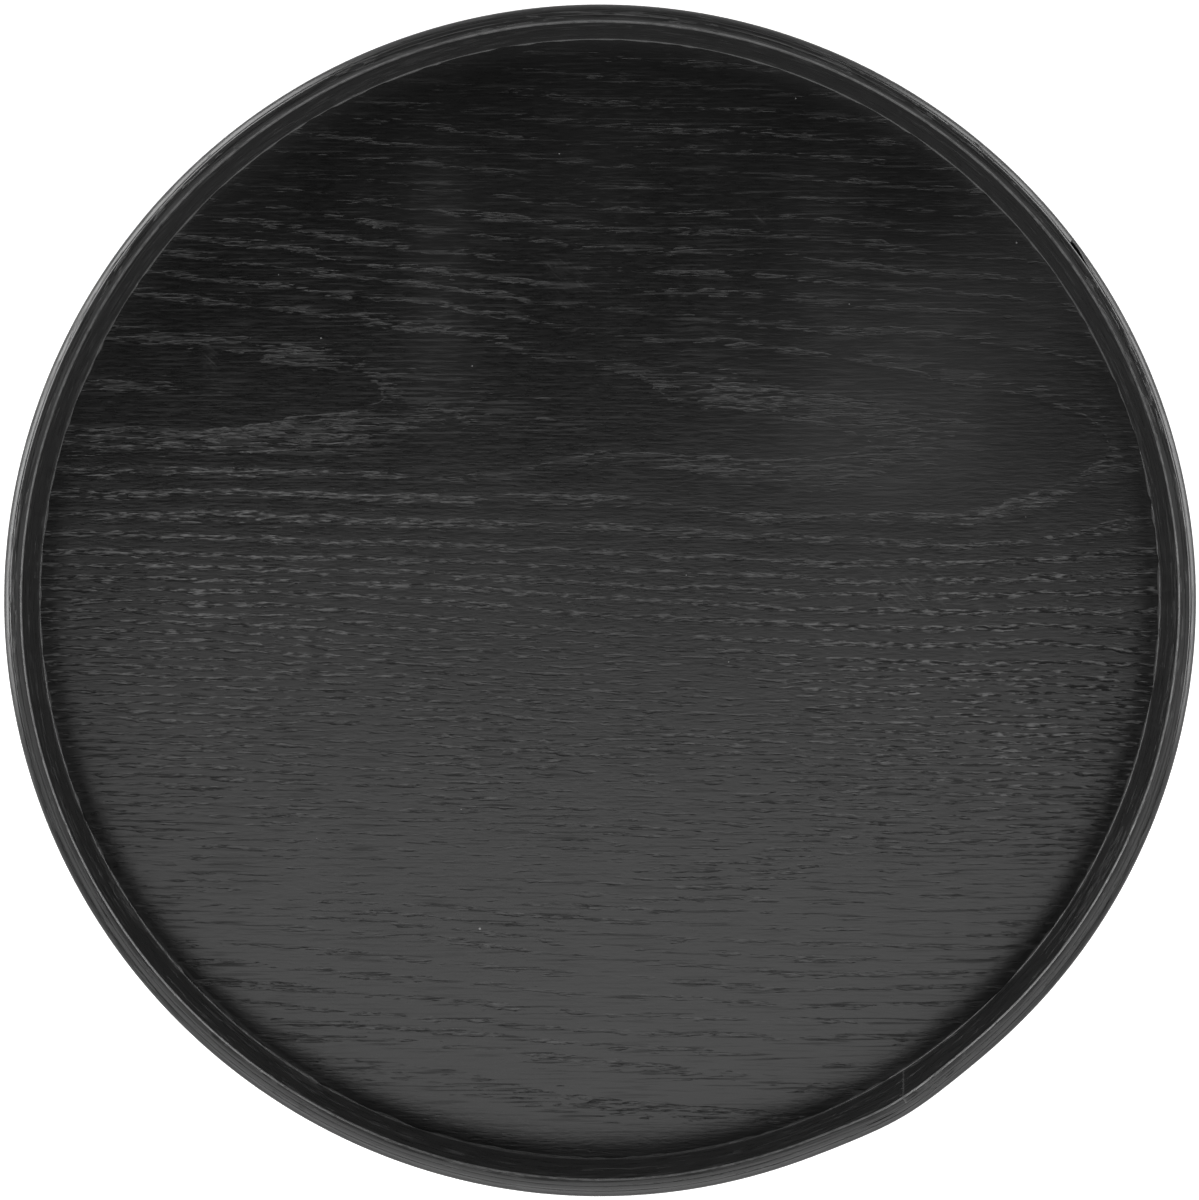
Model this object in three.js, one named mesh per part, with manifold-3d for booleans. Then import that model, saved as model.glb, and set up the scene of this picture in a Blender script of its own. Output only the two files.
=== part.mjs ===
// A round serving tray of black-stained ash.
//
// The rim is a hoop laminated from four thin bent strips. The ends of each strip meet in one
// slanted joint, and the joints are staggered round the hoop. The floor is a five-ply panel
// whose edge sits in a groove in the innermost strip, a little above the hoop's bottom edge.
//
// Units are millimetres and +Z is up. The origin is the centre of the underside.

import * as THREE from "three";
import { mergeVertices } from "three/addons/utils/BufferGeometryUtils.js";
import Module from "manifold-3d";

const wasm = await Module();
wasm.setup();

// ---- Driving dimensions ----

const OUTER_RADIUS = 175;
const HEIGHT = 20;

const INNER_STRIP = 1.8; // thickness of the strip that carries the groove
const OUTER_STRIPS = 1.4; // thickness of each of the other three strips
const GLUE_LINE = 0.1; // between one strip and the next

const TOP_ROUND = 4.2; // radius that rounds the hoop's outer top edge
const BOTTOM_ROUND = 1.2; // radius that eases its outer bottom edge
const ARRIS_ROUND = 0.5; // radius that eases its inner top edge

const FLOOR_UNDERSIDE = 2; // height of the panel above the hoop's bottom edge
const VENEER = 0.5; // the two show faces of the panel
const CROSSBAND = 1; // each of the three plies between them
const GROOVE_DEPTH = 1.2;
const GROOVE_CLEARANCE = 0.2; // between the panel's edge and the bottom of the groove

const JOINT_GAP = 0.3; // width of the joint between a strip's two ends
const JOINT_SLANT = THREE.MathUtils.degToRad(17); // the joint's lean along the hoop

const SEGMENTS = 96; // facets round the tray
const ROUND_STEPS = 3; // facets across a rounded edge
const CLOSEST_STEP = 0.05; // steps nearer than this to a strip's face are left out
const CUTTER_MARGIN = 1; // how far a joint's cutter reaches past the strip's two faces

const FLOOR_TOP = FLOOR_UNDERSIDE + 2 * VENEER + 3 * CROSSBAND;
const INNER_RADIUS = OUTER_RADIUS - INNER_STRIP - 3 * (OUTER_STRIPS + GLUE_LINE);
const PANEL_RADIUS = INNER_RADIUS + GROOVE_DEPTH - GROOVE_CLEARANCE;

// The strips from the inside out, each with the azimuth of its end joint in degrees.
const STRIPS = [
  { name: "hoop_inner_strip", thickness: INNER_STRIP, joint: -58, grooved: true },
  { name: "hoop_second_strip", thickness: OUTER_STRIPS, joint: 167 },
  { name: "hoop_third_strip", thickness: OUTER_STRIPS, joint: 38 },
  { name: "hoop_outer_strip", thickness: OUTER_STRIPS, joint: -148 },
];

// The panel's plies from the bottom up.
const PLIES = [
  { name: "back_veneer", thickness: VENEER, face: true },
  { name: "lower_crossband", thickness: CROSSBAND },
  { name: "core_ply", thickness: CROSSBAND },
  { name: "upper_crossband", thickness: CROSSBAND },
  { name: "face_veneer", thickness: VENEER, face: true },
];

// ---- Materials ----

function stainedHoopAsh() {
  return new THREE.MeshStandardMaterial({ color: 0x1d1d1d, roughness: 0.42, metalness: 0 });
}

function stainedFaceAsh() {
  return new THREE.MeshStandardMaterial({ color: 0x232323, roughness: 0.48, metalness: 0 });
}

function plainPly() {
  return new THREE.MeshStandardMaterial({ color: 0xb0926c, roughness: 0.8, metalness: 0 });
}

// ---- Solids ----

function solidFrom(geometry) {
  const bare = geometry.clone();
  bare.deleteAttribute("normal");
  bare.deleteAttribute("uv");
  const merged = mergeVertices(bare);
  const vertProperties = new Float32Array(merged.attributes.position.array);
  const triVerts = new Uint32Array(merged.index.array);
  return new wasm.Manifold(new wasm.Mesh({ numProp: 3, vertProperties, triVerts }));
}

function geometryFrom(solid) {
  const mesh = solid.getMesh();
  const geometry = new THREE.BufferGeometry();
  geometry.setAttribute("position", new THREE.BufferAttribute(mesh.vertProperties, 3));
  geometry.setIndex(new THREE.BufferAttribute(mesh.triVerts, 1));
  geometry.computeVertexNormals();
  return geometry;
}

// ---- The hoop ----

// How far an edge rounded to a radius falls away at a distance from its face.
function roundedFall(distance, radius) {
  if (distance >= radius) return 0;
  return radius - Math.sqrt(radius * radius - (radius - distance) ** 2);
}

function hoopTop(r) {
  const outerFall = roundedFall(OUTER_RADIUS - r, TOP_ROUND);
  const innerFall = roundedFall(r - INNER_RADIUS, ARRIS_ROUND);
  return HEIGHT - Math.max(outerFall, innerFall);
}

function hoopBottom(r) {
  return roundedFall(OUTER_RADIUS - r, BOTTOM_ROUND);
}

// The radii between two faces of a strip at which its top or bottom edge changes direction:
// both faces, and the steps of each rounded edge that falls between them.
function radiiAcross(inside, outside, rounds) {
  const radii = [inside, outside];
  for (const { start, radius, inward } of rounds) {
    for (let step = 0; step <= ROUND_STEPS; step++) {
      const turn = (Math.PI / 2) * (step / ROUND_STEPS);
      const offset = inward ? radius * (1 - Math.cos(turn)) : radius * Math.sin(turn);
      const r = start + offset;
      if (r > inside + CLOSEST_STEP && r < outside - CLOSEST_STEP) radii.push(r);
    }
  }
  return radii.sort((a, b) => a - b);
}

function stripProfile(inside, outside, grooved) {
  const topRounds = [
    { start: INNER_RADIUS, radius: ARRIS_ROUND, inward: true },
    { start: OUTER_RADIUS - TOP_ROUND, radius: TOP_ROUND, inward: false },
  ];
  const bottomRounds = [{ start: OUTER_RADIUS - BOTTOM_ROUND, radius: BOTTOM_ROUND, inward: false }];
  const bottom = radiiAcross(inside, outside, bottomRounds).map((r) => [r, hoopBottom(r)]);
  const top = radiiAcross(inside, outside, topRounds).map((r) => [r, hoopTop(r)]);
  const groove = [
    [inside, FLOOR_TOP],
    [inside + GROOVE_DEPTH, FLOOR_TOP],
    [inside + GROOVE_DEPTH, FLOOR_UNDERSIDE],
    [inside, FLOOR_UNDERSIDE],
  ];
  const outline = [...bottom, ...top.reverse(), ...(grooved ? groove : []), bottom[0]];
  return outline.map(([r, z]) => new THREE.Vector2(r, z));
}

// A thin slanted slab that parts a strip's two ends. It leans about the tray's radius.
function jointCutter(inside, outside, azimuth) {
  const width = outside - inside + 2 * CUTTER_MARGIN;
  const cutter = new THREE.BoxGeometry(width, JOINT_GAP, 2 * HEIGHT);
  cutter.rotateX(JOINT_SLANT);
  cutter.translate((inside + outside) / 2, 0, (FLOOR_TOP + HEIGHT) / 2);
  cutter.rotateZ(THREE.MathUtils.degToRad(azimuth));
  return solidFrom(cutter);
}

function hoopStrip({ name, thickness, joint, grooved }, inside) {
  const outside = inside + thickness;
  const ring = new THREE.LatheGeometry(stripProfile(inside, outside, grooved), SEGMENTS);
  ring.rotateX(Math.PI / 2);
  const strip = solidFrom(ring).subtract(jointCutter(inside, outside, joint));
  const mesh = new THREE.Mesh(geometryFrom(strip), stainedHoopAsh());
  mesh.name = name;
  return mesh;
}

function hoop() {
  const group = new THREE.Group();
  let inside = INNER_RADIUS;
  for (const strip of STRIPS) {
    group.add(hoopStrip(strip, inside));
    inside += strip.thickness + GLUE_LINE;
  }
  return group;
}

// ---- The floor panel ----

// A ply's section. Its upper face is divided near the hoop's inner wall, into the part that lies
// open in the well and the part that the groove covers.
function plyProfile(thickness) {
  const outline = [
    [0, 0],
    [PANEL_RADIUS, 0],
    [PANEL_RADIUS, thickness],
    [INNER_RADIUS - GROOVE_CLEARANCE, thickness],
    [0, thickness],
  ];
  return outline.map(([r, z]) => new THREE.Vector2(r, z));
}

function ply({ name, thickness, face }, underside) {
  const disc = new THREE.LatheGeometry(plyProfile(thickness), SEGMENTS);
  disc.rotateX(Math.PI / 2);
  disc.translate(0, 0, underside);
  const mesh = new THREE.Mesh(disc, face ? stainedFaceAsh() : plainPly());
  mesh.name = name;
  return mesh;
}

function floorPanel() {
  const group = new THREE.Group();
  let underside = FLOOR_UNDERSIDE;
  for (const layer of PLIES) {
    group.add(ply(layer, underside));
    underside += layer.thickness;
  }
  return group;
}

const tray = new THREE.Group();
tray.add(hoop(), floorPanel());

export default tray;
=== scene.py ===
"""A round black-stained ash serving tray: the looks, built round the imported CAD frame.

The hoop's four bent strips and the panel's two veneers are modelled again in fine mesh, with the
wood's figure, and stand for their CAD nodes. The three inner plies keep their CAD shape.
Everything is in metres in the CAD frame; the wood helpers work in millimetres.
"""

import math

import bpy
import numpy as np
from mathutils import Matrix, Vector


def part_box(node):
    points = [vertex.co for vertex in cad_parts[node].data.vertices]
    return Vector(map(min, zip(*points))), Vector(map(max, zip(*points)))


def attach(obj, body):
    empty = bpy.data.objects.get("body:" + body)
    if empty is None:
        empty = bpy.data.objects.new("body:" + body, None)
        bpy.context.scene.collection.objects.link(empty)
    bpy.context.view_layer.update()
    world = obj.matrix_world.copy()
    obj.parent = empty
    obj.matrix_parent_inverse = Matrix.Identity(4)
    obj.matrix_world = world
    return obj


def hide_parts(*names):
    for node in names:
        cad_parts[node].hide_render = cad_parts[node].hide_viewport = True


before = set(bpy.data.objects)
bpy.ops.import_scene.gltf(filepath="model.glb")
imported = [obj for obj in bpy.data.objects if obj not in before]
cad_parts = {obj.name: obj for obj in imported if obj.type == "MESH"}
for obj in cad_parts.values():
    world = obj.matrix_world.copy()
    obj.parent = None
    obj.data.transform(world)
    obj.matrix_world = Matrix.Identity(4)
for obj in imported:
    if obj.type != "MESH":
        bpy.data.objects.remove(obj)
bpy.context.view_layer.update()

MM = 0.001

# ---- Sizes from the frame, in millimetres ----


def node_box_mm(node):
    low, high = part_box(node)
    return np.array(low) / MM, np.array(high) / MM


OUTER_RADIUS = node_box_mm("hoop_outer_strip")[1][0]
HEIGHT = node_box_mm("hoop_inner_strip")[1][2]
FLOOR_TOP = node_box_mm("face_veneer")[1][2]
FACE_UNDERSIDE = node_box_mm("face_veneer")[0][2]
BACK_TOP = node_box_mm("back_veneer")[1][2]
PANEL_UNDERSIDE = node_box_mm("back_veneer")[0][2]
PANEL_RADIUS = node_box_mm("face_veneer")[1][0]

# The hoop's strips from the inside out: each piece's name here, and the CAD node it stands for.
STRIP_NAMES = ("inner_bent_strip", "second_bent_strip", "third_bent_strip", "outer_bent_strip")
STRIP_NODES = ("hoop_inner_strip", "hoop_second_strip", "hoop_third_strip", "hoop_outer_strip")
PROUD_STRIP = 1
SCARFED_STRIP = 2
STRIP_OUTSIDES = [node_box_mm(node)[1][0] for node in STRIP_NODES]
GLUE_LINE = 0.1
INNER_STRIP = 1.8
INNER_RADIUS = STRIP_OUTSIDES[0] - INNER_STRIP
GROOVE_DEPTH = 1.2

# ---- The hoop's shape ----

TOP_ROUND = 4.2
BOTTOM_ROUND = 1.2
CROWN_START = 171.2  # inside this radius the top edge falls gently towards the well
CROWN_RADIUS = 6.5
ARRIS_BEVEL = 0.37
BEVEL_SLOPE = 1.15
BEVEL_FOOT_DROP = 0.08  # the bevel breaks off a little below its own slope
BEVEL_SHARES = (0, 0.07, 0.35, 0.7, 0.93, 1.15)  # where the section has points across it
GLUE_HAIRLINE = 0.03
STRIP_EDGE_EASE = 0.07
EDGE_DROP = 0.075  # each strip's outer edge is sanded lower than the next strip
EDGE_DROP_WIDTH = 0.34
JOINT_HAIRLINE = 0.06
JOINT_WEAR = 1.0  # along the end of the innermost strip, where it shows in the wall
JOINT_SLANT = math.radians(17)
JOINT_AZIMUTHS = (-58.0, 167.0, 38.0, -148.0)
HOOP_STEPS = 1400
HOOP_SEED = 40
SEEDS_PER_STRIP = 5

# The second strip stands proud of its neighbours in one stretch of the rim, and hardly elsewhere.
PROUD_FROM, PROUD_TO = 45.0, 105.0
PROUD_THERE = 0.085
PROUD_ELSEWHERE = 0.02

# The third strip is scarfed thin before its joint, which leaves a slit beside it.
SCARF_DEPTH = 0.85
SCARF_DEGREES = 3.4

# A bead of lacquer lies in the corner between the hoop and the floor, and breaks off in places.
BEAD_HEIGHT = 0.6
# The bead is painted lighter towards the floor: painted highlight along it.
BEAD_HIGHLIGHT = 0.3
BEAD_WIDTH = 0.5
BEAD_SEED = 71
# Each gap's azimuth and half angle, in degrees.
BEAD_GAPS = (
    (-44, 4.0),
    (-9.5, 1.6),
    (4, 1.0),
    (10, 1.0),
    (16.5, 3.2),
    (100, 2.0),
    (203, 1.5),
    (251, 2.5),
)

# Nicks and slots in the rim's top: azimuth, radius, half length and half width in mm, depth in mm.
RIM_MARKS = (
    (50.4, 172.3, 0.9, 0.35, 0.25),
    (171.0, 171.2, 0.7, 0.25, 0.15),
    (166.8, 169.9, 3.8, 0.13, 0.12),
    (212.5, 170.6, 4.2, 0.16, 0.1),
    (228.5, 169.2, 1.4, 0.2, 0.12),
    (232.0, 170.4, 0.8, 0.2, 0.12),
    (-61.5, 170.9, 9.5, 0.16, 0.16),
    (-53.5, 171.3, 4.2, 0.14, 0.14),
    (-57.5, 169.2, 0.8, 0.5, 0.22),
)

# The hoop springs outward above the floor where the innermost strip's ends meet, by KICK
# millimetres, and is a little flat beside that place and roughly opposite it. Widths in degrees.
KICK_AZIMUTH = -59.5
KICK = 1.25
KICK_WIDTH = 5.5
FLAT_BESIDE_KICK = 0.32
FLAT_WIDTH = 17.0
FAR_FLAT_AZIMUTH = 150.0
FAR_FLAT = 0.2
FAR_FLAT_WIDTH = 15.0

# ---- The camera, in metres and millimetres of lens ----

CAMERA_HEIGHT = 0.4306
CAMERA_FOOT = (-0.0017, 0.0169)
LENS = 42.3
SENSOR = 36.0
SHIFT = (0.0044, -0.0477)


# ---- Seeded smooth noise ----


def lattice_noise(x, y, seed):
    """Smooth noise from -1 to 1 with one random value for each unit square."""
    rng = np.random.default_rng(seed)
    size = 256
    table = rng.uniform(-1, 1, (size, size))
    x0 = np.floor(x).astype(int)
    y0 = np.floor(y).astype(int)
    fx = x - x0
    fy = y - y0
    fx = fx * fx * (3 - 2 * fx)
    fy = fy * fy * (3 - 2 * fy)
    a = table[x0 % size, y0 % size]
    b = table[(x0 + 1) % size, y0 % size]
    c = table[x0 % size, (y0 + 1) % size]
    d = table[(x0 + 1) % size, (y0 + 1) % size]
    return (a * (1 - fx) + b * fx) * (1 - fy) + (c * (1 - fx) + d * fx) * fy


def bell(distance, width):
    return np.exp(-((distance / width) ** 2))


def smooth_step(low, high, value):
    t = np.clip((value - low) / (high - low), 0, 1)
    return t * t * (3 - 2 * t)


def angle_between(azimuth, other):
    """The signed difference of two azimuths in degrees, from -180 to 180."""
    return (azimuth - other + 180) % 360 - 180


# ---- The figure of the floor veneer ----

# The veneer is cut tangentially, so its growth rings show as flames nested along X, with their
# tips towards +X, and as nearly straight lines away from them. Each line below is where a ring
# begins, as (x, y) in millimetres, and is named by its ring's number counted from the first flame.
# A flame's two branches meet at its tip. The flames' axis runs through the tips.
FLAME_AXIS = (
    (-170, 64), (-93, 63), (-66, 61), (10, 51),
    (80, 46.5), (118, 46), (153, 45), (170, 44),
)
RING_ON_AXIS = (
    (-170, 0.1), (-93, 0.5), (-66, 1), (10, 1.5),
    (80, 2), (118, 2.5), (153, 3), (170, 3.2),
)
RINGS_BELOW_AXIS = (
    (0.5, ((-170, 60.5), (-120, 61), (-93, 63))),
    (1, ((-170, 52), (-120, 51), (-100, 53.5), (-88, 56.5), (-72, 57.5), (-66, 61))),
    (1.5, ((-170, 42.5), (-80, 43.5), (-60, 46), (-45, 49), (-10, 49.5), (10, 51))),
    (2, (
        (-170, 40), (-100, 39), (-50, 37.5), (-28, 38), (-12, 43),
        (2, 46.5), (50, 41.5), (78, 42.5), (80, 46.5),
    )),
    (2.5, (
        (-170, 37), (-50, 35), (15, 37), (50, 35),
        (62, 32), (100, 33), (116, 39), (118, 46),
    )),
    (3, (
        (-170, 33.5), (-100, 32), (0, 30.5), (60, 26),
        (115, 27), (130, 32), (150, 40), (153, 45),
    )),
    (4, ((-170, 27), (-100, 25.5), (0, 22.5), (50, 20), (110, 18), (140, 20.5), (170, 26))),
    (5, ((-170, 21), (-100, 19), (0, 15), (60, 12), (110, 12.5), (170, 16.5))),
    (6, ((-170, 15.5), (-100, 14), (0, 10.5), (85, 5.5), (170, 9))),
    (8, ((-170, 7), (-100, 6), (0, 1.5), (80, -3), (110, -4), (170, -3.5))),
    (10, ((-170, 0), (-100, -2), (0, -8.5), (80, -12.5), (130, -12), (170, -17))),
    (11, ((-170, -3.5), (-100, -5), (0, -12), (80, -18), (150, -19), (170, -21))),
    (41, ((-150, -80), (-50, -83), (0, -85), (100, -88), (150, -87))),
    (47, ((-110, -96), (-40, -103), (-10, -107), (60, -111), (120, -112))),
    (51, ((-110, -119), (-60, -125), (0, -130), (60, -132), (110, -130))),
    (53, ((-100, -129), (-60, -132.5), (0, -138), (40, -142), (90, -149))),
    (54, ((-70, -138), (-40, -142.5), (-15, -148), (20, -151.5), (60, -156))),
    (55, ((-60, -160), (60, -167))),
)
RINGS_ABOVE_AXIS = (
    (0.5, ((-170, 68), (-120, 66.5), (-93, 63))),
    (1, ((-170, 78), (-120, 77), (-100, 71), (-80, 68.5), (-66, 66), (-66, 61))),
    (1.5, ((-170, 88), (-115, 82), (-88, 79), (-62, 72), (-40, 67), (-15, 58), (10, 51))),
    (2, (
        (-170, 94), (-110, 88), (-88, 86), (-72, 81), (-35, 77),
        (-22, 72), (14, 66), (18, 59), (65, 51.5), (80, 46.5),
    )),
    (2.5, (
        (-170, 97), (-100, 90), (-50, 84), (0, 72), (42, 69.5),
        (50, 65), (105, 61), (118, 50), (118, 46),
    )),
    (3, (
        (-170, 101), (-100, 93), (-50, 88), (0, 78), (45, 76),
        (80, 71), (130, 61), (150, 52), (153, 45),
    )),
    (4, ((-150, 105), (-50, 93), (0, 86.5), (50, 82), (110, 77), (140, 72), (165, 62))),
    (5, ((-140, 109), (-50, 98), (0, 92.5), (60, 89), (120, 84), (155, 76))),
    (10, ((-120, 138), (0, 124), (120, 114))),
    (17, ((-100, 176), (0, 168), (100, 160))),
)
LAST_FLAME = 3  # rings up to this one close in a flame's tip within the panel
FIGURE_STEP = 0.5
FIGURE_EASE = 7.0
FIGURE_SEED = 11
TIPPED_LINES = [line for ring, line in RINGS_BELOW_AXIS + RINGS_ABOVE_AXIS if ring <= LAST_FLAME]


def eased_line(points, x):
    """A line through listed points, with its corners eased."""
    xs, ys = zip(*points)
    reach = np.linspace(-FIGURE_EASE, FIGURE_EASE, 9)
    weights = np.cos(reach / FIGURE_EASE * math.pi / 2) ** 2 + 0.02
    lines = [weight * np.interp(x + shift, xs, ys) for shift, weight in zip(reach, weights)]
    return sum(lines) / weights.sum()


def branch_line(points, x, axis, below):
    """A ring's line beside the flames' axis. It ends at the flame's tip, if it has one."""
    line = eased_line(points, x)
    past_tip = x > points[-1][0] if points in TIPPED_LINES else np.zeros(len(x), bool)
    line = np.minimum(line, axis - 0.01) if below else np.maximum(line, axis + 0.01)
    return np.where(past_tip, np.nan, line)


def ring_table():
    """The ring number on a square lattice over the panel."""
    xs = np.arange(-PANEL_RADIUS, PANEL_RADIUS + FIGURE_STEP, FIGURE_STEP)
    axis = eased_line(FLAME_AXIS, xs)
    on_axis = np.interp(xs, *zip(*RING_ON_AXIS))
    sides = []
    for rings, below in ((RINGS_BELOW_AXIS, True), (RINGS_ABOVE_AXIS, False)):
        sides.append([(ring, branch_line(line, xs, axis, below)) for ring, line in rings])
    table = np.empty((len(xs), len(xs)))
    for i in range(len(xs)):
        knots = [(axis[i], on_axis[i])]
        for side in sides:
            knots += [(line[i], ring) for ring, line in side if not math.isnan(line[i])]
        knots.sort()
        ys, rings = zip(*knots)
        table[i] = np.interp(xs, ys, rings)
    return xs, table


RING_LATTICE, RING_TABLE = ring_table()


def ring_field(x, y):
    """The growth-ring number at points of the floor."""
    wave = 1.3 * lattice_noise(x / 55 + 3, y / 16, FIGURE_SEED)
    wave += 0.5 * lattice_noise(x / 19, y / 6, FIGURE_SEED + 1)
    wave += 0.22 * lattice_noise(x / 8, y / 3, FIGURE_SEED + 2)
    u = np.clip((x - RING_LATTICE[0]) / FIGURE_STEP, 0, len(RING_LATTICE) - 2)
    v = np.clip((y + wave - RING_LATTICE[0]) / FIGURE_STEP, 0, len(RING_LATTICE) - 2)
    i = np.floor(u).astype(int)
    j = np.floor(v).astype(int)
    fu = u - i
    fv = v - j
    low = RING_TABLE[i, j] * (1 - fu) + RING_TABLE[i + 1, j] * fu
    high = RING_TABLE[i, j + 1] * (1 - fu) + RING_TABLE[i + 1, j + 1] * fu
    return low * (1 - fv) + high * fv


def ring_width(x, y):
    """The width of the growth rings where they meet the surface, in millimetres."""
    step = 1.0
    dx = (ring_field(x + step, y) - ring_field(x - step, y)) / (2 * step)
    dy = (ring_field(x, y + step) - ring_field(x, y - step)) / (2 * step)
    return 1 / np.maximum(np.hypot(dx, dy), 0.02)


# ---- Meshes ----


def mesh_object(name, points_mm, faces, attributes, sharp_angle=40):
    """A mesh piece from points in millimetres, quads, and named attributes of its points."""
    mesh = bpy.data.meshes.new(name)
    mesh.from_pydata((points_mm * MM).tolist(), [], faces)
    for key, values in attributes.items():
        kind = "FLOAT_VECTOR" if values.ndim == 2 else "FLOAT"
        field = "vector" if values.ndim == 2 else "value"
        attribute = mesh.attributes.new(key, kind, "POINT")
        attribute.data.foreach_set(field, values.astype(np.float32).ravel())
    mesh.polygons.foreach_set("use_smooth", [True] * len(mesh.polygons))
    mesh.set_sharp_from_angle(angle=math.radians(sharp_angle))
    mesh.validate()
    mesh.update()
    piece = bpy.data.objects.new(name, mesh)
    bpy.context.scene.collection.objects.link(piece)
    return piece


def grid_faces(rows, columns, wrap_columns, start=0):
    """Quads between the points of a grid that is laid out row by row."""
    faces = []
    last = columns if wrap_columns else columns - 1
    for i in range(rows - 1):
        for j in range(last):
            k = (j + 1) % columns
            a = start + i * columns
            b = a + columns
            faces.append((a + j, a + k, b + k, b + j))
    return faces


# ---- The hoop ----


def rounded_fall(distance, radius):
    """How far an edge rounded to a radius falls away at a distance from its face."""
    inside = np.clip(radius - distance, 0, radius)
    return radius - np.sqrt(radius**2 - inside**2)


def rim_top(r):
    """The height of the hoop's top at a radius."""
    crown = np.clip(CROWN_START - r, 0, None) ** 2 / (2 * CROWN_RADIUS)
    return HEIGHT - crown - rounded_fall(OUTER_RADIUS - r, TOP_ROUND)


def strip_top(inside, outside, grooved):
    """The top edge of a strip's section, from its inner face to its outer one."""
    ease = STRIP_EDGE_EASE
    across = [inside, inside + ease / 2]
    across += list(np.linspace(inside + 2 * ease, outside - EDGE_DROP_WIDTH, 8))
    across += list(outside - EDGE_DROP_WIDTH * np.array([0.75, 0.5, 0.25, 0.08, 0]))
    if outside > OUTER_RADIUS - 0.01:
        centre = OUTER_RADIUS - TOP_ROUND
        turns = np.radians(np.arange(42, 91, 6))
        across = [r for r in across if r < centre + TOP_ROUND * math.sin(turns[0]) - 0.05]
        across += list(centre + TOP_ROUND * np.sin(turns))
    across = np.array(across)
    if grooved:
        bevel = inside + ARRIS_BEVEL * np.array(BEVEL_SHARES)
        across = np.concatenate([bevel, across[across > inside + 1.4 * ARRIS_BEVEL]])
        inner_fall = BEVEL_SLOPE * np.clip(ARRIS_BEVEL - (across - inside), 0, None)
        inner_fall[0] += BEVEL_FOOT_DROP
    else:
        inner_fall = rounded_fall(across - inside, ease)
    heights = rim_top(across) - inner_fall
    if outside < OUTER_RADIUS - 2:
        heights -= EDGE_DROP * smooth_step(EDGE_DROP_WIDTH, 0, outside - across)
    return list(zip(across, heights))


def strip_bottom(inside, outside):
    across = np.linspace(inside, outside, 6)
    if outside > OUTER_RADIUS - 0.01:
        turns = np.radians(np.arange(0, 91, 15))
        rounded = OUTER_RADIUS - BOTTOM_ROUND + BOTTOM_ROUND * np.sin(turns)
        across = np.concatenate([[inside], rounded])
    return list(zip(across, rounded_fall(OUTER_RADIUS - across, BOTTOM_ROUND)))


def strip_outline(inside, outside, grooved):
    """A strip's section as a closed loop, counter-clockwise.

    Each point is (radius, height, share of the lacquer bead's width, share of painted highlight and
    rubbed wear).
    """
    bottom = strip_bottom(inside, outside)
    top = strip_top(inside, outside, grooved)
    side = [(outside, z, 0, 0) for z in np.linspace(bottom[-1][1], top[-1][1], 10)[1:-1]]
    # The arris bevel is painted lighter: painted highlight along it, with rubbed wear.
    highlit_and_worn = [1.0 if grooved and 0 < r - inside < ARRIS_BEVEL else 0.0 for r, z in top]
    outline = [(r, z, 0, 0) for r, z in bottom] + side
    outline += [(r, z, 0, highlight_and_wear) for (r, z), highlight_and_wear in zip(top, highlit_and_worn)][::-1]
    if grooved:
        foot = FLOOR_TOP + BEAD_HEIGHT
        outline += [(inside, z, 0, 0) for z in np.linspace(top[0][1], foot, 10)[1:]]
        turns = np.radians(np.arange(15, 91, 15))
        for turn in turns:
            z = FLOOR_TOP + BEAD_HEIGHT * (1 - math.sin(turn))
            outline.append((inside, z, 1 - math.cos(turn), BEAD_HIGHLIGHT * math.sin(turn)))
        outline += [
            (inside + GROOVE_DEPTH, FLOOR_TOP, 0, 0),
            (inside + GROOVE_DEPTH, PANEL_UNDERSIDE, 0, 0),
            (inside, PANEL_UNDERSIDE, 0, 0),
        ]
    return np.array(outline)


def hoop_bulge(azimuth, z):
    """How far the hoop stands out of round. The panel keeps it round below the floor's top."""
    kick = KICK * bell(angle_between(azimuth, KICK_AZIMUTH), KICK_WIDTH)
    kick -= FLAT_BESIDE_KICK * bell(angle_between(azimuth, KICK_AZIMUTH), FLAT_WIDTH)
    kick -= FAR_FLAT * bell(angle_between(azimuth, FAR_FLAT_AZIMUTH), FAR_FLAT_WIDTH)
    return kick * np.clip((z - FLOOR_TOP) / (HEIGHT - FLOOR_TOP), 0, 1)


def hoop_relief(azimuth, r, z, seed):
    """How far the rim's top lies below its plain section: streaks, waves, nicks and slots."""
    arc = np.radians(azimuth) * OUTER_RADIUS
    fall = 0.022 * lattice_noise(arc / 9, r / 0.45, seed)
    fall = fall + 0.03 * lattice_noise(arc / 26, r / 1.2, seed + 1)
    for mark_azimuth, mark_radius, half_length, half_width, depth in RIM_MARKS:
        along = np.radians(angle_between(azimuth, mark_azimuth)) * mark_radius
        fall = fall + depth * bell(along, half_length) ** 2 * bell(r - mark_radius, half_width)
    return smooth_step(HEIGHT - TOP_ROUND, HEIGHT - 0.4, z) * fall


def bead_width(azimuth):
    """The width of the lacquer bead, in millimetres."""
    arc = np.radians(azimuth) * INNER_RADIUS
    level = arc * 0
    waver = 0.6 * lattice_noise(arc / 3.5, level, BEAD_SEED)
    waver += 0.35 * lattice_noise(arc / 17, level, BEAD_SEED + 1)
    width = BEAD_WIDTH * (1 + waver)
    for gap_azimuth, half_angle in BEAD_GAPS:
        width = width * (1 - bell(angle_between(azimuth, gap_azimuth), half_angle) ** 2)
    return width


def strip_proud(azimuth, share_across):
    """How far the second strip stands above its neighbours."""
    turn = azimuth % 360
    rising = smooth_step(PROUD_FROM - 6, PROUD_FROM + 6, turn)
    falling = smooth_step(PROUD_TO + 8, PROUD_TO - 8, turn)
    stretch = rising * falling
    proud = PROUD_ELSEWHERE + (PROUD_THERE - PROUD_ELSEWHERE) * stretch
    return proud * np.clip(1 - share_across**2, 0, 1)


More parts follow.
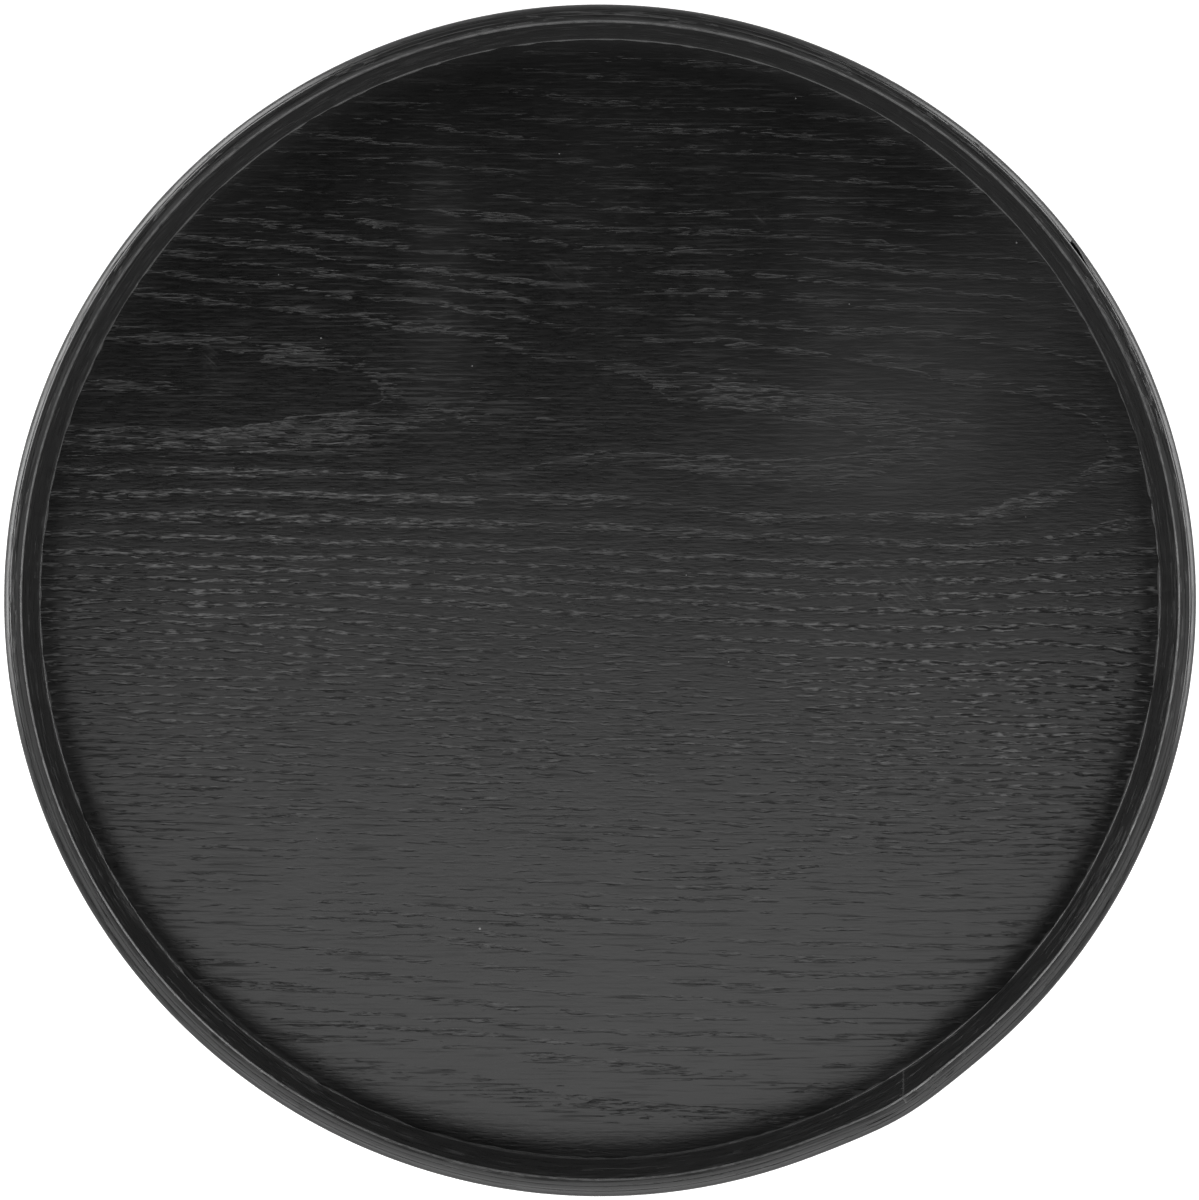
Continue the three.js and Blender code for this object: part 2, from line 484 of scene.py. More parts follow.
def strip_turn(index, inside, z):
    """How far round each point of a strip lies from its first end, and its azimuth, in degrees."""
    half_gap = math.degrees(JOINT_HAIRLINE / 2 / OUTER_RADIUS)
    lean = np.degrees(-(z - (HEIGHT + FLOOR_TOP) / 2) * math.tan(JOINT_SLANT) / inside)
    turned = np.linspace(0, 1, HOOP_STEPS + 1)[:, None] * (360 - 2 * half_gap)
    return turned, JOINT_AZIMUTHS[index] + half_gap + lean[None, :] + turned


def scarfed(radius, turned, inside, outside):
    """The radius of a strip's points, drawn outward where the strip thins towards its end."""
    scarf = smooth_step(360 - SCARF_DEGREES, 360 - 0.25 * SCARF_DEGREES, turned)
    thinned = SCARF_DEPTH * scarf
    return outside - (outside - radius) * (1 - thinned / (outside - inside))


def strip_points(index, inside, outside, outline):
    """A strip's points, section by section round the hoop, and their azimuths in radians."""
    r, z, bead = outline.T[:3]
    turned, azimuth = strip_turn(index, inside, z)
    radius = np.broadcast_to(r[None, :], azimuth.shape)
    if index == SCARFED_STRIP:
        radius = scarfed(radius, turned, inside, outside)
    radius = radius + hoop_bulge(azimuth, z[None, :]) - bead[None, :] * bead_width(azimuth)
    seed = HOOP_SEED + SEEDS_PER_STRIP * index
    height = z[None, :] - hoop_relief(azimuth, r[None, :], z[None, :], seed)
    if index == PROUD_STRIP:
        across = (r - (inside + outside) / 2) / ((outside - inside) / 2)
        height = height + (z > HEIGHT - 1)[None, :] * strip_proud(azimuth, across[None, :])
    turn = np.radians(azimuth)
    return np.stack([radius * np.cos(turn), radius * np.sin(turn), height], -1), turn


def strip_faces(count):
    """The quads round a strip, and the polygons that close its two ends."""
    faces = grid_faces(HOOP_STEPS + 1, count, wrap_columns=True)
    end = HOOP_STEPS * count
    faces.append(tuple(range(count - 1, -1, -1)))
    faces.append(tuple(range(end, end + count)))
    return faces


def hoop_strip(index, inside, outside):
    outline = strip_outline(inside, outside, grooved=index == 0)
    r, z, highlight_and_wear = outline[:, 0], outline[:, 1], outline[:, 3]
    points, turn = strip_points(index, inside, outside, outline)
    sheet = turn.shape
    arc = turn * OUTER_RADIUS
    grain = np.stack([arc, np.broadcast_to(z, sheet), np.broadcast_to(r, sheet)], -1)
    # One attribute holds the painted highlight of the bevel and bead, and the rubbed wear along the
    # joint's end.
    highlit_and_worn = np.tile(highlight_and_wear, (HOOP_STEPS + 1, 1))
    if index == 0:
        highlit_and_worn[0] = np.maximum(highlit_and_worn[0], JOINT_WEAR)
    attributes = {"grain": grain.reshape(-1, 3), "highlight_and_wear": highlit_and_worn.ravel()}
    faces = strip_faces(len(outline))
    return mesh_object(STRIP_NAMES[index], points.reshape(-1, 3), faces, attributes)


def hoop():
    pieces = []
    inside = INNER_RADIUS
    for index, node in enumerate(STRIP_NODES):
        outside = STRIP_OUTSIDES[index]
        if index < len(STRIP_NODES) - 1:
            outside += GLUE_LINE - GLUE_HAIRLINE
        piece = hoop_strip(index, inside, outside)
        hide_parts(node)
        pieces.append(piece)
        inside = outside + GLUE_HAIRLINE
    return pieces


# ---- The veneers ----

FACE_GRID = (290, 330)  # columns and rows of the show face's mesh
BACK_GRID = (160, 200)
EARLYWOOD_SINK = 0.035
DEEPEST_WAVE = 0.24
RELIEF_SEED = 21


def disc_points(radius, columns, rows):
    """A square grid pressed into a disc, so that its cells stay nearly even."""
    u, v = np.meshgrid(np.linspace(-1, 1, columns), np.linspace(-1, 1, rows))
    x = radius * u * np.sqrt(1 - v**2 / 2)
    y = radius * v * np.sqrt(1 - u**2 / 2)
    return x.ravel(), y.ravel()


def rim_loop(columns, rows):
    """The numbers of a grid's edge points, counter-clockwise."""
    low = list(range(columns))
    right = [columns - 1 + columns * i for i in range(1, rows)]
    high = [columns * rows - 1 - i for i in range(1, columns)]
    left = [columns * (rows - 1) - columns * i for i in range(1, rows - 1)]
    return low + right + high + left


def veneer(name, bottom, top, grid, show_top):
    """A round sheet. Its show face carries the figure in relief, and its other face is flat."""
    columns, rows = grid
    x, y = disc_points(PANEL_RADIUS, columns, rows)
    field = ring_field(x, y)
    width = ring_width(x, y)
    inside_hoop = smooth_step(INNER_RADIUS - 0.3, INNER_RADIUS - 1.5, np.hypot(x, y))
    fall = panel_fall(x, y, field, width) * inside_hoop
    flat_z = np.full_like(x, bottom if show_top else top)
    low = flat_z if show_top else bottom + fall
    high = top - fall if show_top else flat_z
    points = np.concatenate([np.stack([x, y, high], -1), np.stack([x, y, low], -1)])
    count = len(x)
    faces = grid_faces(rows, columns, wrap_columns=False)
    faces += [tuple(reversed([count + k for k in face])) for face in faces]
    loop = rim_loop(columns, rows)
    for a, b in zip(loop, loop[1:] + loop[:1]):
        faces.append((a, count + a, count + b, b))
    attributes = {
        "grain": np.stack([x, y, np.zeros_like(x)], -1),
        "ring": field,
        "ring_width": width,
        "open": pore_opening(x, y),
        "haze": panel_haze(x, y),
        "scuffed": panel_scuffs(x, y),
    }
    both = {key: np.concatenate([values, values]) for key, values in attributes.items()}
    return mesh_object(name, points, faces, both)


def panel_fall(x, y, field, width):
    """How far the lacquered face lies below its highest level, in millimetres."""
    phase = field - np.floor(field)
    earlywood = smooth_step(0.62, 0.4, phase) * smooth_step(0, 0.06, phase)
    wide = smooth_step(3.5, 8, width)
    waves = 0.07 * lattice_noise(x / 60, y / 70, RELIEF_SEED)
    waves += 0.03 * lattice_noise(x / 21, y / 34, RELIEF_SEED + 1)
    return EARLYWOOD_SINK * earlywood * wide + np.clip(0.1 + waves, 0, DEEPEST_WAVE)


FINISH_SEED = 31
# Where the pores stand more open than elsewhere, or less where the last number is negative,
# as (x, y, reach along x, reach along y, how much) in millimetres.
OPEN_EVERYWHERE = 0.36
OPEN_PATCHES = (
    (-120, 16, 66, 42, 0.9),
    (134, -16, 62, 34, 1.2),
    (20, 8, 60, 20, 0.3),
    (-90, 92, 60, 22, 0.12),
    (-84, 62, 36, 16, -0.24),
    (0, -45, 190, 26, 0.15),
    (0, -120, 190, 50, 0.08),
    (90, 62, 50, 26, 0.2),
    (30, 140, 120, 40, -0.08),
)
# Where the lacquer is duller and greyer than elsewhere, or clearer, in the same form.
HAZE_EVERYWHERE = 0.5
HAZE_PATCHES = (
    (90, 66, 38, 32, 1.45),
    (122, 92, 30, 24, 0.9),
    (84, 40, 42, 14, 0.8),
    (-130, 44, 60, 34, -0.5),
    (-30, 76, 110, 46, -0.32),
    (-48, 90, 12, 48, 0.75),
    (-120, 82, 36, 24, -0.5),
    (-118, 50, 48, 13, -0.35),
    (0, 130, 120, 60, -0.2),
)
# Small scuffs and smudges, in the same form.
SCUFF_PATCHES = (
    (-117.5, 71.5, 2.0, 4.0, 1.0),
    (-130.5, 55.0, 2.4, 3.0, 0.5),
    (-8.0, 96.5, 9.0, 4.0, 0.5),
    (-14.0, 100.0, 3.0, 2.5, 0.7),
    (48.5, 115.0, 2.0, 2.5, 0.7),
    (116.0, 22.0, 2.0, 3.0, 0.7),
    (112.0, -16.0, 3.4, 2.2, 0.9),
    (93.0, 2.5, 12.0, 8.0, 0.75),
    (-88.0, 7.0, 4.0, 4.0, 0.45),
    (-92.0, -10.0, 5.0, 6.0, 0.35),
)


def patches(x, y, places):
    return sum(more * bell(x - px, wx) * bell(y - py, wy) for px, py, wx, wy, more in places)


def pore_opening(x, y):
    clouds = 0.12 * lattice_noise(x / 42, y / 14, FINISH_SEED)
    clouds += 0.1 * lattice_noise(x / 15, y / 5, FINISH_SEED + 1)
    return np.clip(OPEN_EVERYWHERE + clouds + patches(x, y, OPEN_PATCHES), 0.06, 1.3)


def panel_haze(x, y):
    haze_noise = 0.22 * lattice_noise(x / 17, y / 60, FINISH_SEED + 2)
    haze_noise += 0.2 * lattice_noise(x / 30, y / 24, FINISH_SEED + 3)
    return np.clip(HAZE_EVERYWHERE + haze_noise + patches(x, y, HAZE_PATCHES), 0, 1.6)


def panel_scuffs(x, y):
    return np.clip(patches(x, y, SCUFF_PATCHES), 0, 1)


# ---- Materials ----

LACQUER_IOR = 1.5

# Greys of the stained wood and of what lies on it, and greys of painted highlight and painted
# shade.
STAIN_DARK = 0.0015
STAIN_LIGHT = 0.004
HAZE_GREY = 0.0135
# Painted highlight: the pale grey of the pore lips stands for light caught on their edges.
PORE_LIP_HIGHLIGHT_GREY = 0.082
# Painted shade: the near black of the pore cores stands for shade in the pits.
PORE_SHADE_GREY = 0.001
SCUFF_GREY = 0.05
DUST_GREY = 0.16
HOOP_DARK = 0.009
HOOP_LIGHT = 0.019
HOOP_PORE_GREY = 0.04
# Painted highlight on the arris bevel and the bead, with rubbed wear there and along the joint's
# end.
HOOP_HIGHLIGHT_AND_WEAR_GREY = 0.075
PLY_DARK = (0.36, 0.23, 0.11, 1)
PLY_LIGHT = (0.52, 0.37, 0.2, 1)


class Nodes:
    """A short way to write a material's node tree."""

    def __init__(self, name):
        self.material = bpy.data.materials.new(name)
        self.material.use_nodes = True
        self.tree = self.material.node_tree
        self.tree.nodes.clear()

    def add(self, kind, inputs=None, **settings):
        node = self.tree.nodes.new(kind)
        for key, value in settings.items():
            setattr(node, key, value)
        for key, value in (inputs or {}).items():
            self.put(node.inputs[key], value)
        return node

    def put(self, socket, value):
        if isinstance(value, bpy.types.NodeSocket):
            self.tree.links.new(value, socket)
        else:
            socket.default_value = value

    def math(self, operation, a, b=0.0, c=0.0, clamp=False):
        node = self.add("ShaderNodeMath", {0: a, 1: b}, operation=operation, use_clamp=clamp)
        if operation == "MULTIPLY_ADD":
            self.put(node.inputs[2], c)
        return node.outputs[0]

    def attribute(self, name):
        return self.add("ShaderNodeAttribute", attribute_name=name)

    def scaled(self, vector, x, y, z, shift=(0, 0, 0)):
        inputs = {"Vector": vector, "Scale": (x, y, z), "Location": shift}
        return self.add("ShaderNodeMapping", inputs).outputs[0]

    def turned(self, vector, degrees):
        """The vector turned about the upright axis."""
        turn = (0, 0, math.radians(degrees))
        return self.add("ShaderNodeMapping", {"Vector": vector, "Rotation": turn}).outputs[0]

    def noise(self, vector, detail=2.0, rough=0.5):
        inputs = {"Vector": vector, "Scale": 1.0, "Detail": detail, "Roughness": rough}
        return self.add("ShaderNodeTexNoise", inputs).outputs["Fac"]

    def step(self, value, low, high, to_low=0.0, to_high=1.0):
        """A smooth change from to_low to to_high as value goes from low to high."""
        inputs = {"Value": value, "From Min": low, "From Max": high}
        inputs.update({"To Min": to_low, "To Max": to_high})
        node = self.add("ShaderNodeMapRange", inputs, interpolation_type="SMOOTHSTEP")
        return node.outputs[0]

    def cells(self, vector):
        """Random cells: the distance from each one's centre, and two random values of its own."""
        inputs = {"Vector": vector, "Scale": 1.0, "Randomness": 1.0}
        node = self.add("ShaderNodeTexVoronoi", inputs)
        parts = self.add("ShaderNodeSeparateColor", {"Color": node.outputs["Color"]})
        return node.outputs["Distance"], parts.outputs[0], parts.outputs[1]

    def mixed(self, share, low, high):
        """A colour from low to high, each a grey value, a colour or a colour socket."""
        mix = self.add("ShaderNodeMix", {0: share}, data_type="RGBA")
        for socket, value in (("A", low), ("B", high)):
            colour = (value, value, value, 1) if isinstance(value, float) else value
            self.put(mix.inputs[socket], colour)
        return mix.outputs["Result"]

    def bump(self, height, distance):
        return self.add("ShaderNodeBump", {"Height": height, "Distance": distance}).outputs[0]

    def lacquered(self, colour, rough, normal):
        """The finished material of lacquered wood."""
        inputs = {"Base Color": colour, "Roughness": rough, "Normal": normal, "IOR": LACQUER_IOR}
        return self.finish(self.add("ShaderNodeBsdfPrincipled", inputs))

    def finish(self, shader):
        output = self.add("ShaderNodeOutputMaterial")
        self.tree.links.new(shader.outputs[0], output.inputs["Surface"])
        return self.material


def ragged_pores(nodes, grain, length, width, share, seed):
    """A field above 0 in ragged slits along the grain and above 1 in the middle of wide ones."""
    shift = (seed, 1.7 * seed, 0.6 * seed)
    place = nodes.scaled(grain, 1 / length, 1 / width, 1 / width, shift=shift)
    wood = nodes.noise(place, detail=2.5, rough=0.5)
    edge = nodes.math("MULTIPLY_ADD", share, -0.3, 0.72)
    return nodes.math("MULTIPLY", nodes.math("SUBTRACT", wood, edge), 11.0)


def ring_start_pores(nodes, grain, phase, width, seed):
    """The same kind of field for the broken row of large pores with which a growth ring begins."""
    along = nodes.noise(nodes.scaled(grain, 1 / 9, 1 / 2.0, 1, shift=(seed, seed, 0)), detail=2.5)
    into_ring = nodes.math("MULTIPLY", phase, width)
    from_row = nodes.math("ABSOLUTE", nodes.math("SUBTRACT", into_ring, 1.0))
    narrowing = nodes.math("MAXIMUM", nodes.math("DIVIDE", 5.5, width), 1.5)
    across = nodes.math("SUBTRACT", 1.35, nodes.math("MULTIPLY", from_row, narrowing))
    return nodes.math("ADD", across, nodes.math("MULTIPLY_ADD", along, 9.0, -4.9))


def scuff_layer(nodes, grain):
    """Light scratches that cross the grain, on a faint smudge."""
    scuffed = nodes.attribute("scuffed").outputs["Fac"]
    across = nodes.turned(grain, 42)
    lines = nodes.noise(nodes.scaled(across, 1 / 12, 1 / 0.8, 1, shift=(4, 9, 0)), detail=1.0)
    scratches = nodes.step(lines, 0.58, 0.68)
    smudge = nodes.step(nodes.noise(nodes.scaled(grain, 1 / 2.5, 1 / 2.5, 1), detail=3.0), 0.4, 0.7)
    return nodes.math("MULTIPLY", scuffed, nodes.math("MULTIPLY_ADD", smudge, 0.5, scratches))


def dust_layer(nodes, grain):
    """Rare pale specks, a fifth of a millimetre to half a millimetre across."""
    distance, chance, other_chance = nodes.cells(nodes.scaled(grain, 1 / 9, 1 / 9, 1))
    size = nodes.math("MULTIPLY_ADD", chance, 0.026, 0.012)
    kept = nodes.math("GREATER_THAN", other_chance, 0.72)
    return nodes.math("MULTIPLY", nodes.math("LESS_THAN", distance, size), kept)


def earlywood_share(nodes, grain, width):
    """Each point's place in its growth ring, how far it is earlywood, and cloudy variation."""
    ring = nodes.attribute("ring").outputs["Fac"]
    wander = nodes.noise(nodes.scaled(grain, 1 / 16, 1 / 2.4, 1), detail=3.0, rough=0.55)
    reach = nodes.math("MINIMUM", nodes.math("DIVIDE", 2.6, width), 0.6)
    shake = nodes.math("MULTIPLY", nodes.math("SUBTRACT", wander, 0.5), reach)
    phase = nodes.math("FRACT", nodes.math("ADD", ring, shake))
    early = nodes.math("MULTIPLY", nodes.step(phase, 0.62, 0.25), nodes.step(phase, 0.0, 0.05))
    cloud = nodes.noise(nodes.scaled(grain, 1 / 34, 1 / 7, 1))
    return phase, early, nodes.step(cloud, 0.35, 0.7, 0.55, 1.0)


def open_pores(nodes, grain, opening):
    """The pores of the face: how deep, their lips with painted highlight, their cores with painted
    shade, and fine long lines.
    """
    width = nodes.attribute("ring_width").outputs["Fac"]
    phase, early, clouds = earlywood_share(nodes, grain, width)
    share = nodes.math("MULTIPLY", early, clouds)
    share = nodes.math("MULTIPLY", share, nodes.step(width, 1.2, 3.2, 0.5, 1.0))

    ragged = ragged_pores(nodes, grain, 11.0, 1.5, share, 3.0)
    thin_share = nodes.math("MULTIPLY_ADD", share, 0.75, 0.14)
    thin = ragged_pores(nodes, grain, 8.0, 0.9, thin_share, 8.0)
    row = ring_start_pores(nodes, grain, phase, width, 5.0)
    widest = nodes.math("MAXIMUM", nodes.math("MAXIMUM", ragged, thin), row)
    closing = nodes.step(opening, 0.7, 0.1, 0.0, 1.5)
    slit = nodes.math("MAXIMUM", nodes.math("SUBTRACT", widest, closing), 0.0)

    depth = nodes.math("MULTIPLY_ADD", opening, 1.1, 0.22, clamp=True)
    porous = nodes.math("MULTIPLY", nodes.step(slit, 0.0, 0.7), depth)
    stripes_place = nodes.scaled(grain, 1 / 4.4, 1 / 0.72, 1, shift=(7, 2, 0))
    stripes = nodes.noise(stripes_place, detail=2.2)
    scattered = ragged_pores(nodes, grain, 4.5, 0.85, nodes.math("MULTIPLY", clouds, 0.5), 12.0)
    loose = nodes.math("MULTIPLY_ADD", early, 0.3, 0.14)
    faint = nodes.math("MULTIPLY", nodes.step(scattered, 0.0, 0.9), loose)
    # Painted highlight: the pale lips stand for light caught on the pores' edges.
    lip_highlight = nodes.math("MULTIPLY", porous, nodes.step(stripes, 0.48, 0.57))
    lip_highlight = nodes.math("MAXIMUM", lip_highlight, faint)
    # Painted shade: the dark cores stand for shade deep in the pores.
    core = nodes.math("MULTIPLY", porous, nodes.step(stripes, 0.5, 0.41))

    lines_place = nodes.scaled(grain, 1 / 20, 1 / 0.7, 1, shift=(3, 11, 0))
    long_lines = nodes.noise(lines_place, detail=2.0)
    along_rows = nodes.math("MULTIPLY_ADD", early, 0.7, 0.3)
    lines = nodes.math("MULTIPLY", nodes.step(long_lines, 0.52, 0.64), along_rows)
    return slit, lip_highlight, core, lines


def face_relief(nodes, grain, opening, fibres, slit, core):
    """The surface's small relief: sunk pores, raised fibres and the lacquer's orange peel."""
    sunk = nodes.math("MULTIPLY_ADD", core, 0.7, nodes.step(slit, 0.0, 1.3))
    height = nodes.math("MULTIPLY", sunk, nodes.math("MULTIPLY", opening, -0.17))
    height = nodes.math("MULTIPLY_ADD", fibres, 0.06, height)
    orange_peel = nodes.noise(nodes.scaled(grain, 1 / 2.6, 1 / 1.3, 1), detail=2.0)
    height = nodes.math("MULTIPLY_ADD", orange_peel, 0.05, height)
    return nodes.bump(height, MM)


def face_colour(nodes, grain, opening, fibres, lip_highlight, core):
    """Black stain, greyed by haze, with painted highlight on the pore lips, painted shade in the
    pore cores, scuffs and dust on it.
    """
    haze = nodes.attribute("haze").outputs["Fac"]
    wood = nodes.mixed(nodes.step(fibres, 0.3, 0.75), STAIN_DARK, STAIN_LIGHT)
    wood = nodes.mixed(nodes.math("MULTIPLY", haze, 0.5), wood, HAZE_GREY)
    broken = nodes.noise(nodes.scaled(grain, 1 / 3, 1 / 0.9, 1), detail=2.0)
    patchy = nodes.step(broken, 0.35, 0.65, 0.35, 1.1)
    most = nodes.math("MULTIPLY_ADD", opening, 0.7, 0.12, clamp=True)
    # The pore lips are painted pale, as painted highlight.
    lip_highlight_share = nodes.math("MULTIPLY", nodes.math("MULTIPLY", lip_highlight, patchy), most)
    clear = nodes.step(haze, 0.8, 1.5, 1.0, 0.1)
    colour = nodes.mixed(nodes.math("MULTIPLY", lip_highlight_share, clear), wood, PORE_LIP_HIGHLIGHT_GREY)
    # The pore cores are painted near black, as painted shade.
    colour = nodes.mixed(core, colour, PORE_SHADE_GREY)
    scuffs = nodes.math("MULTIPLY", scuff_layer(nodes, grain), 0.5)
    colour = nodes.mixed(scuffs, colour, SCUFF_GREY)
    return nodes.mixed(dust_layer(nodes, grain), colour, DUST_GREY)


def face_roughness(nodes, opening, fibres, lip_highlight, core, lines):
    """Satin lacquer, duller in haze, and rougher in the pores and along the fine lines."""
    haze = nodes.attribute("haze").outputs["Fac"]
    smooth = nodes.step(fibres, 0.3, 0.7, 0.25, 0.31)
    dull = nodes.math("MULTIPLY_ADD", haze, 0.05, smooth)
    deep = nodes.math("MULTIPLY", core, opening)
    rough = nodes.math("MULTIPLY_ADD", deep, 0.42, dull)
    rough = nodes.math("MULTIPLY_ADD", lip_highlight, 0.2, rough)
    lined = nodes.math("MAXIMUM", nodes.math("MINIMUM", opening, 0.5), 0.24)
    return nodes.math("MULTIPLY_ADD", lines, lined, rough)


def face_wood(name):
    nodes = Nodes(name)
    grain = nodes.attribute("grain").outputs["Vector"]
    opening = nodes.attribute("open").outputs["Fac"]
    fibres = nodes.noise(nodes.scaled(grain, 1 / 5, 1 / 0.7, 1), detail=3.0, rough=0.6)
    slit, lip_highlight, core, lines = open_pores(nodes, grain, opening)
    normal = face_relief(nodes, grain, opening, fibres, slit, core)
    colour = face_colour(nodes, grain, opening, fibres, lip_highlight, core)
    rough = face_roughness(nodes, opening, fibres, lip_highlight, core, lines)
    return nodes.lacquered(colour, rough, normal)


def hoop_wood(name):
    nodes = Nodes(name)
    grain = nodes.attribute("grain").outputs["Vector"]
    highlight_and_wear = nodes.attribute("highlight_and_wear").outputs["Fac"]
    share = nodes.noise(nodes.scaled(grain, 1 / 40, 1 / 2.5, 1 / 2.5), detail=2.0)
    pores = ragged_pores(nodes, grain, 8.0, 0.7, nodes.step(share, 0.35, 0.7, 0.0, 0.75), 5.0)
    open_grain = nodes.step(pores, 0.0, 0.6)
    fibres = nodes.noise(nodes.scaled(grain, 1 / 10, 1 / 0.4, 1 / 0.4), detail=4.0, rough=0.6)
    height = nodes.math("MULTIPLY_ADD", open_grain, -0.07, nodes.math("MULTIPLY", fibres, 0.03))
    normal = nodes.bump(height, MM)
    wood = nodes.mixed(nodes.step(fibres, 0.3, 0.75), HOOP_DARK, HOOP_LIGHT)
    wood = nodes.mixed(nodes.math("MULTIPLY", open_grain, 0.5), wood, HOOP_PORE_GREY)
    # Lighter grey where marked: painted highlight on the arris bevel and the bead, and rubbed wear.
    highlight_and_wear_noise = nodes.noise(nodes.scaled(grain, 1 / 2.5, 1, 1), detail=3.0)
    broken = nodes.step(highlight_and_wear_noise, 0.3, 0.6, 0.35, 1.0)
    colour = nodes.mixed(nodes.math("MULTIPLY", highlight_and_wear, broken), wood, HOOP_HIGHLIGHT_AND_WEAR_GREY)
    smooth = nodes.step(fibres, 0.3, 0.7, 0.26, 0.34)
    rough = nodes.math("MULTIPLY_ADD", open_grain, 0.15, smooth)
    return nodes.lacquered(colour, rough, normal)


def plain_ply_wood(name):
    nodes = Nodes(name)
    place = nodes.add("ShaderNodeTexCoord").outputs["Object"]
    fibres = nodes.noise(nodes.scaled(place, 60, 2500, 2500), detail=4.0, rough=0.6)
    colour = nodes.mixed(fibres, PLY_DARK, PLY_LIGHT)
    normal = nodes.bump(fibres, 0.02 * MM)
    inputs = {"Base Color": colour, "Roughness": 0.8, "Normal": normal}
    return nodes.finish(nodes.add("ShaderNodeBsdfPrincipled", inputs))


def floor_paint(name, grey, glow):
    nodes = Nodes(name)
    inputs = {
        "Base Color": (grey, grey, grey, 1),
        "Roughness": 0.9,
        "Emission Color": (1, 1, 1, 1),
        "Emission Strength": glow,
    }
    return nodes.finish(nodes.add("ShaderNodeBsdfPrincipled", inputs))


# ---- The stage, the lights and the camera ----

# Both floor sheets lie a hair under the tray, so that no face of it shares their plane.
SEEN_FLOOR_HALF = 12.0
SEEN_FLOOR_LEVEL = -0.0002
SEEN_FLOOR_GREY = 0.9
SEEN_FLOOR_GLOW = 0.6
MIRRORED_FLOOR_HALF = 3.0
MIRRORED_FLOOR_LEVEL = -0.0001
MIRRORED_FLOOR_GREY = 0.45

# Softboxes facing the tray from the front: name, place, target, size and radiance.
FRONT_SOFTBOXES = (
    ("front_softbox", (0.0, -0.74, 0.93), (0.0, -0.12, 0.03), (2.2, 1.54), 1.7),
    ("low_front_softbox", (0.0, -1.4, 0.4), (0.0, 0.0, 0.05), (2.2, 0.8), 1.2),
)
# Softboxes at the sides, which light the rim: name, azimuth in degrees and radiance.
SIDE_SOFTBOXES = (("right_softbox", 22, 6.0), ("left_softbox", 155, 7.5))
SIDE_DISTANCE = 1.05
SIDE_HEIGHT = 0.24
SIDE_TARGET = (0, 0, 0.02)
SIDE_SIZE = (1.5, 0.46)

WORLD_ZENITH = 0.07
WORLD_HORIZON = 0.3


def floor_sheet(name, half, height, material):
    mesh = bpy.data.meshes.new(name)
    signs = ((-1, -1), (1, -1), (1, 1), (-1, 1))
    mesh.from_pydata([(x * half, y * half, height) for x, y in signs], [], [(0, 1, 2, 3)])
    sheet = bpy.data.objects.new(name, mesh)
    bpy.context.scene.collection.objects.link(sheet)
    mesh.materials.append(material)
    return sheet


def make_floor():
    """A white floor to look at, and a dimmer one for the lacquer's reflections of it."""
    white = floor_paint("studio_floor_white", SEEN_FLOOR_GREY, SEEN_FLOOR_GLOW)
    seen = floor_sheet("studio_floor", SEEN_FLOOR_HALF, SEEN_FLOOR_LEVEL, white)
    seen.visible_glossy = False
    grey = floor_paint("studio_floor_grey", MIRRORED_FLOOR_GREY, 0.0)
    level = MIRRORED_FLOOR_LEVEL
    mirrored = floor_sheet("studio_floor_mirrored", MIRRORED_FLOOR_HALF, level, grey)
    mirrored.visible_camera = False
    mirrored.visible_diffuse = False
    mirrored.visible_transmission = False
    mirrored.visible_shadow = False


def area_light(name, place, target, size, radiance):
    """A softbox of a given brightness, in watts per square metre and steradian."""
    light = bpy.data.lights.new(name, "AREA")
    light.shape = "RECTANGLE"
    light.size, light.size_y = size
    light.energy = radiance * math.pi * size[0] * size[1]
    lamp = bpy.data.objects.new(name, light)
    bpy.context.scene.collection.objects.link(lamp)
    lamp.location = place
    lamp.rotation_euler = (Vector(target) - Vector(place)).to_track_quat("-Z", "Y").to_euler()
    lamp.visible_camera = False


def make_lights():
    for name, place, target, size, radiance in FRONT_SOFTBOXES:
        area_light(name, place, target, size, radiance)
    for name, azimuth, radiance in SIDE_SOFTBOXES:
        turn = math.radians(azimuth)
        place = (SIDE_DISTANCE * math.cos(turn), SIDE_DISTANCE * math.sin(turn), SIDE_HEIGHT)
        area_light(name, place, SIDE_TARGET, SIDE_SIZE, radiance)


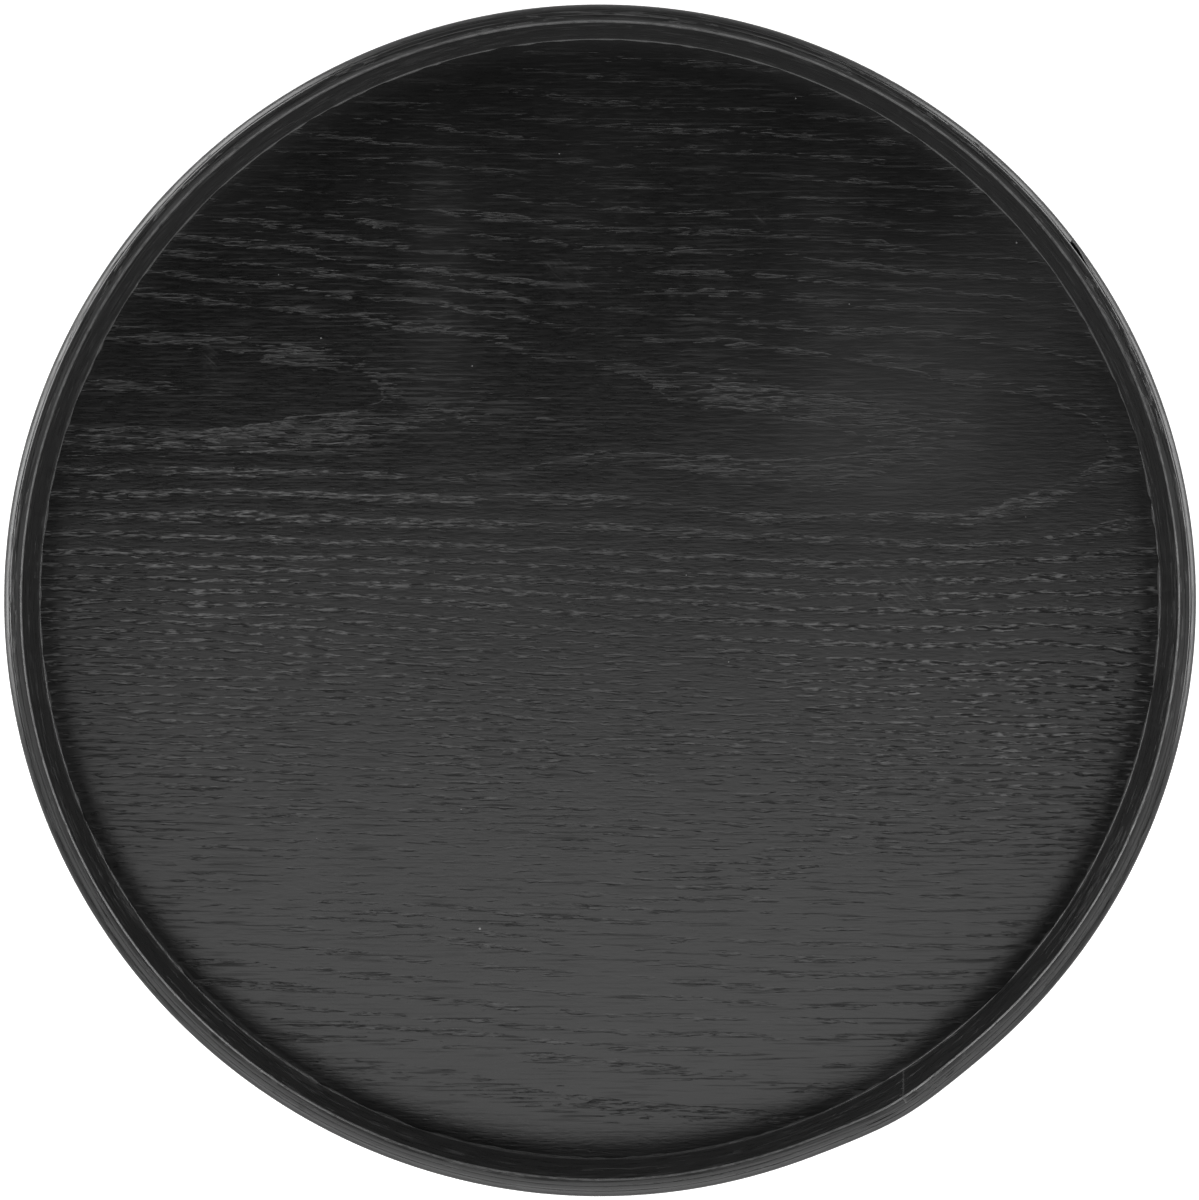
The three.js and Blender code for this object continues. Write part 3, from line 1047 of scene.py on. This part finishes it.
def make_world():
    """A dim studio: dark overhead, and paler walls down towards the floor."""
    world = bpy.data.worlds.new("studio")
    world.use_nodes = True
    tree = world.node_tree
    place = tree.nodes.new("ShaderNodeTexCoord")
    split = tree.nodes.new("ShaderNodeSeparateXYZ")
    ramp = tree.nodes.new("ShaderNodeMapRange")
    ramp.interpolation_type = "SMOOTHSTEP"
    ramp.inputs["From Min"].default_value = 0.1
    ramp.inputs["From Max"].default_value = 0.75
    ramp.inputs["To Min"].default_value = WORLD_HORIZON
    ramp.inputs["To Max"].default_value = WORLD_ZENITH
    tree.links.new(place.outputs["Generated"], split.inputs[0])
    tree.links.new(split.outputs["Z"], ramp.inputs["Value"])
    tree.links.new(ramp.outputs[0], tree.nodes["Background"].inputs["Strength"])
    tree.nodes["Background"].inputs["Color"].default_value = (1, 1, 1, 1)
    bpy.context.scene.world = world


def make_camera():
    data = bpy.data.cameras.new("camera")
    data.lens = LENS
    data.sensor_width = SENSOR
    data.shift_x, data.shift_y = SHIFT
    camera = bpy.data.objects.new("camera", data)
    bpy.context.scene.collection.objects.link(camera)
    camera.location = (*CAMERA_FOOT, CAMERA_HEIGHT)
    camera.rotation_euler = (0, 0, 0)
    bpy.context.scene.camera = camera


# ---- Assembly ----


def finish_piece(piece, material):
    piece.data.materials.clear()
    piece.data.materials.append(material)
    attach(piece, "root")


def build():
    hoop_material = hoop_wood("hoop_black_ash")
    face_material = face_wood("face_black_ash")
    ply_material = plain_ply_wood("plain_ply")
    for strip in hoop():
        finish_piece(strip, hoop_material)
    face = veneer("floor_veneer", FACE_UNDERSIDE, FLOOR_TOP, FACE_GRID, show_top=True)
    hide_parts("face_veneer")
    finish_piece(face, face_material)
    back = veneer("underside_veneer", PANEL_UNDERSIDE, BACK_TOP, BACK_GRID, show_top=False)
    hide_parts("back_veneer")
    finish_piece(back, face_material)
    for node in ("upper_crossband", "core_ply", "lower_crossband"):
        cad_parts[node].data.materials.clear()
        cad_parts[node].data.materials.append(ply_material)


make_camera()
make_floor()
make_lights()
make_world()
build()
bpy.context.scene.view_settings.view_transform = "Standard"

bpy.context.view_layer.update()
